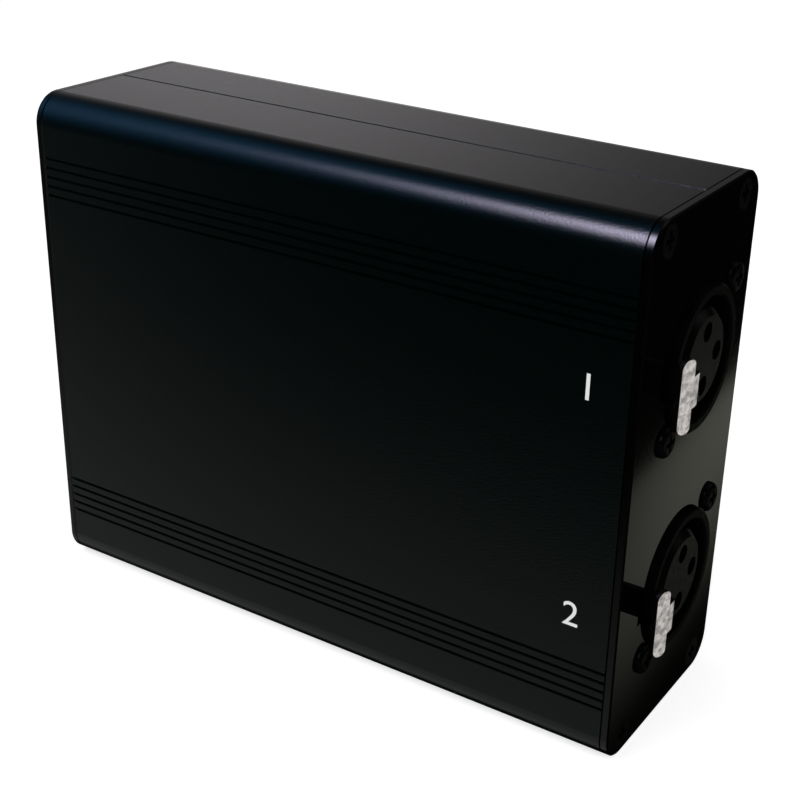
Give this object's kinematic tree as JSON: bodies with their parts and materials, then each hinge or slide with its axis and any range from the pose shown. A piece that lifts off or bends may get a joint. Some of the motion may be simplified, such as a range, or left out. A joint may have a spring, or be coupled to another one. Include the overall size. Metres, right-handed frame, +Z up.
{
  "type": "usb dmx interface",
  "caption": "Small black extruded aluminium lighting interface standing on its side, with latching three-pin sockets in one end plate and a USB socket in the other.",
  "frame": {"origin": "middle of the narrow face that the case stands on", "axes": "+X along the extrusion towards the three-pin sockets, +Y from the front broad face to the back one, +Z up"},
  "size_m": [0.1184, 0.038, 0.088],
  "materials": {
    "anodised_case": "black anodised, fine brushed grain, satin",
    "anodised_plate": "black anodised, smooth satin",
    "black_screws": "black oxide, semi-gloss",
    "black_moulding": "moulded, satin",
    "black_insert": "moulded, satin",
    "contacts": "plated, bright",
    "latch_metal": "pressed sheet, satin nickel",
    "steel": "plain",
    "lead_sleeve": "sleeved lead, satin",
    "white_moulding": "moulded, satin",
    "board": "green solder mask",
    "tinned_steel": "tinned, bright",
    "lamp_lens": "tinted, diffused",
    "chip_moulding": "moulded, matt",
    "converter_case": "moulded, matt",
    "capacitor_sleeve": "drawn can"
  },
  "bodies": {
    "case": {"front_shell": "anodised_case", "back_shell": "anodised_case", "socket_end_plate": "anodised_plate", "usb_end_plate": "anodised_plate", "socket_plate_screws": "black_screws", "usb_plate_screws": "black_screws", "upper_socket_housing": "black_moulding", "upper_socket_insert": "black_insert", "upper_socket_contacts": "contacts", "upper_latch_pin": "steel", "upper_latch_spring": "steel", "upper_socket_screws": "black_screws", "upper_socket_leads": "lead_sleeve", "upper_lead_connector": "white_moulding", "upper_line_driver": "chip_moulding", "lower_socket_housing": "black_moulding", "lower_socket_insert": "black_insert", "lower_socket_contacts": "contacts", "lower_latch_pin": "steel", "lower_latch_spring": "steel", "lower_socket_screws": "black_screws", "lower_socket_leads": "lead_sleeve", "lower_lead_connector": "white_moulding", "lower_line_driver": "chip_moulding", "circuit_board": "board", "usb_shell": "tinned_steel", "usb_insulator": "white_moulding", "usb_contacts": "contacts", "status_lamps": "lamp_lens", "microcontroller": "chip_moulding", "isolated_converter": "converter_case", "crystal": "tinned_steel", "filter_capacitors": "capacitor_sleeve", "chip_resistors": "chip_moulding"},
    "upper_latch": {"upper_latch": "latch_metal"},
    "lower_latch": {"lower_latch": "latch_metal"}
  },
  "joints": [
    {"name": "upper_latch_hinge", "type": "hinge", "parent": "case", "child": "upper_latch", "pos_m": [0.047, -0.0107, 0.0628], "axis": [0, 0, -1], "range_deg": [0, 8], "stiffness_Nm_per_rad": 0.1, "deforming": ["upper_latch_spring"]},
    {"name": "lower_latch_hinge", "type": "hinge", "parent": "case", "child": "lower_latch", "pos_m": [0.047, -0.0107, 0.0252], "axis": [0, 0, -1], "range_deg": [0, 8], "stiffness_Nm_per_rad": 0.1, "deforming": ["lower_latch_spring"]}
  ]
}
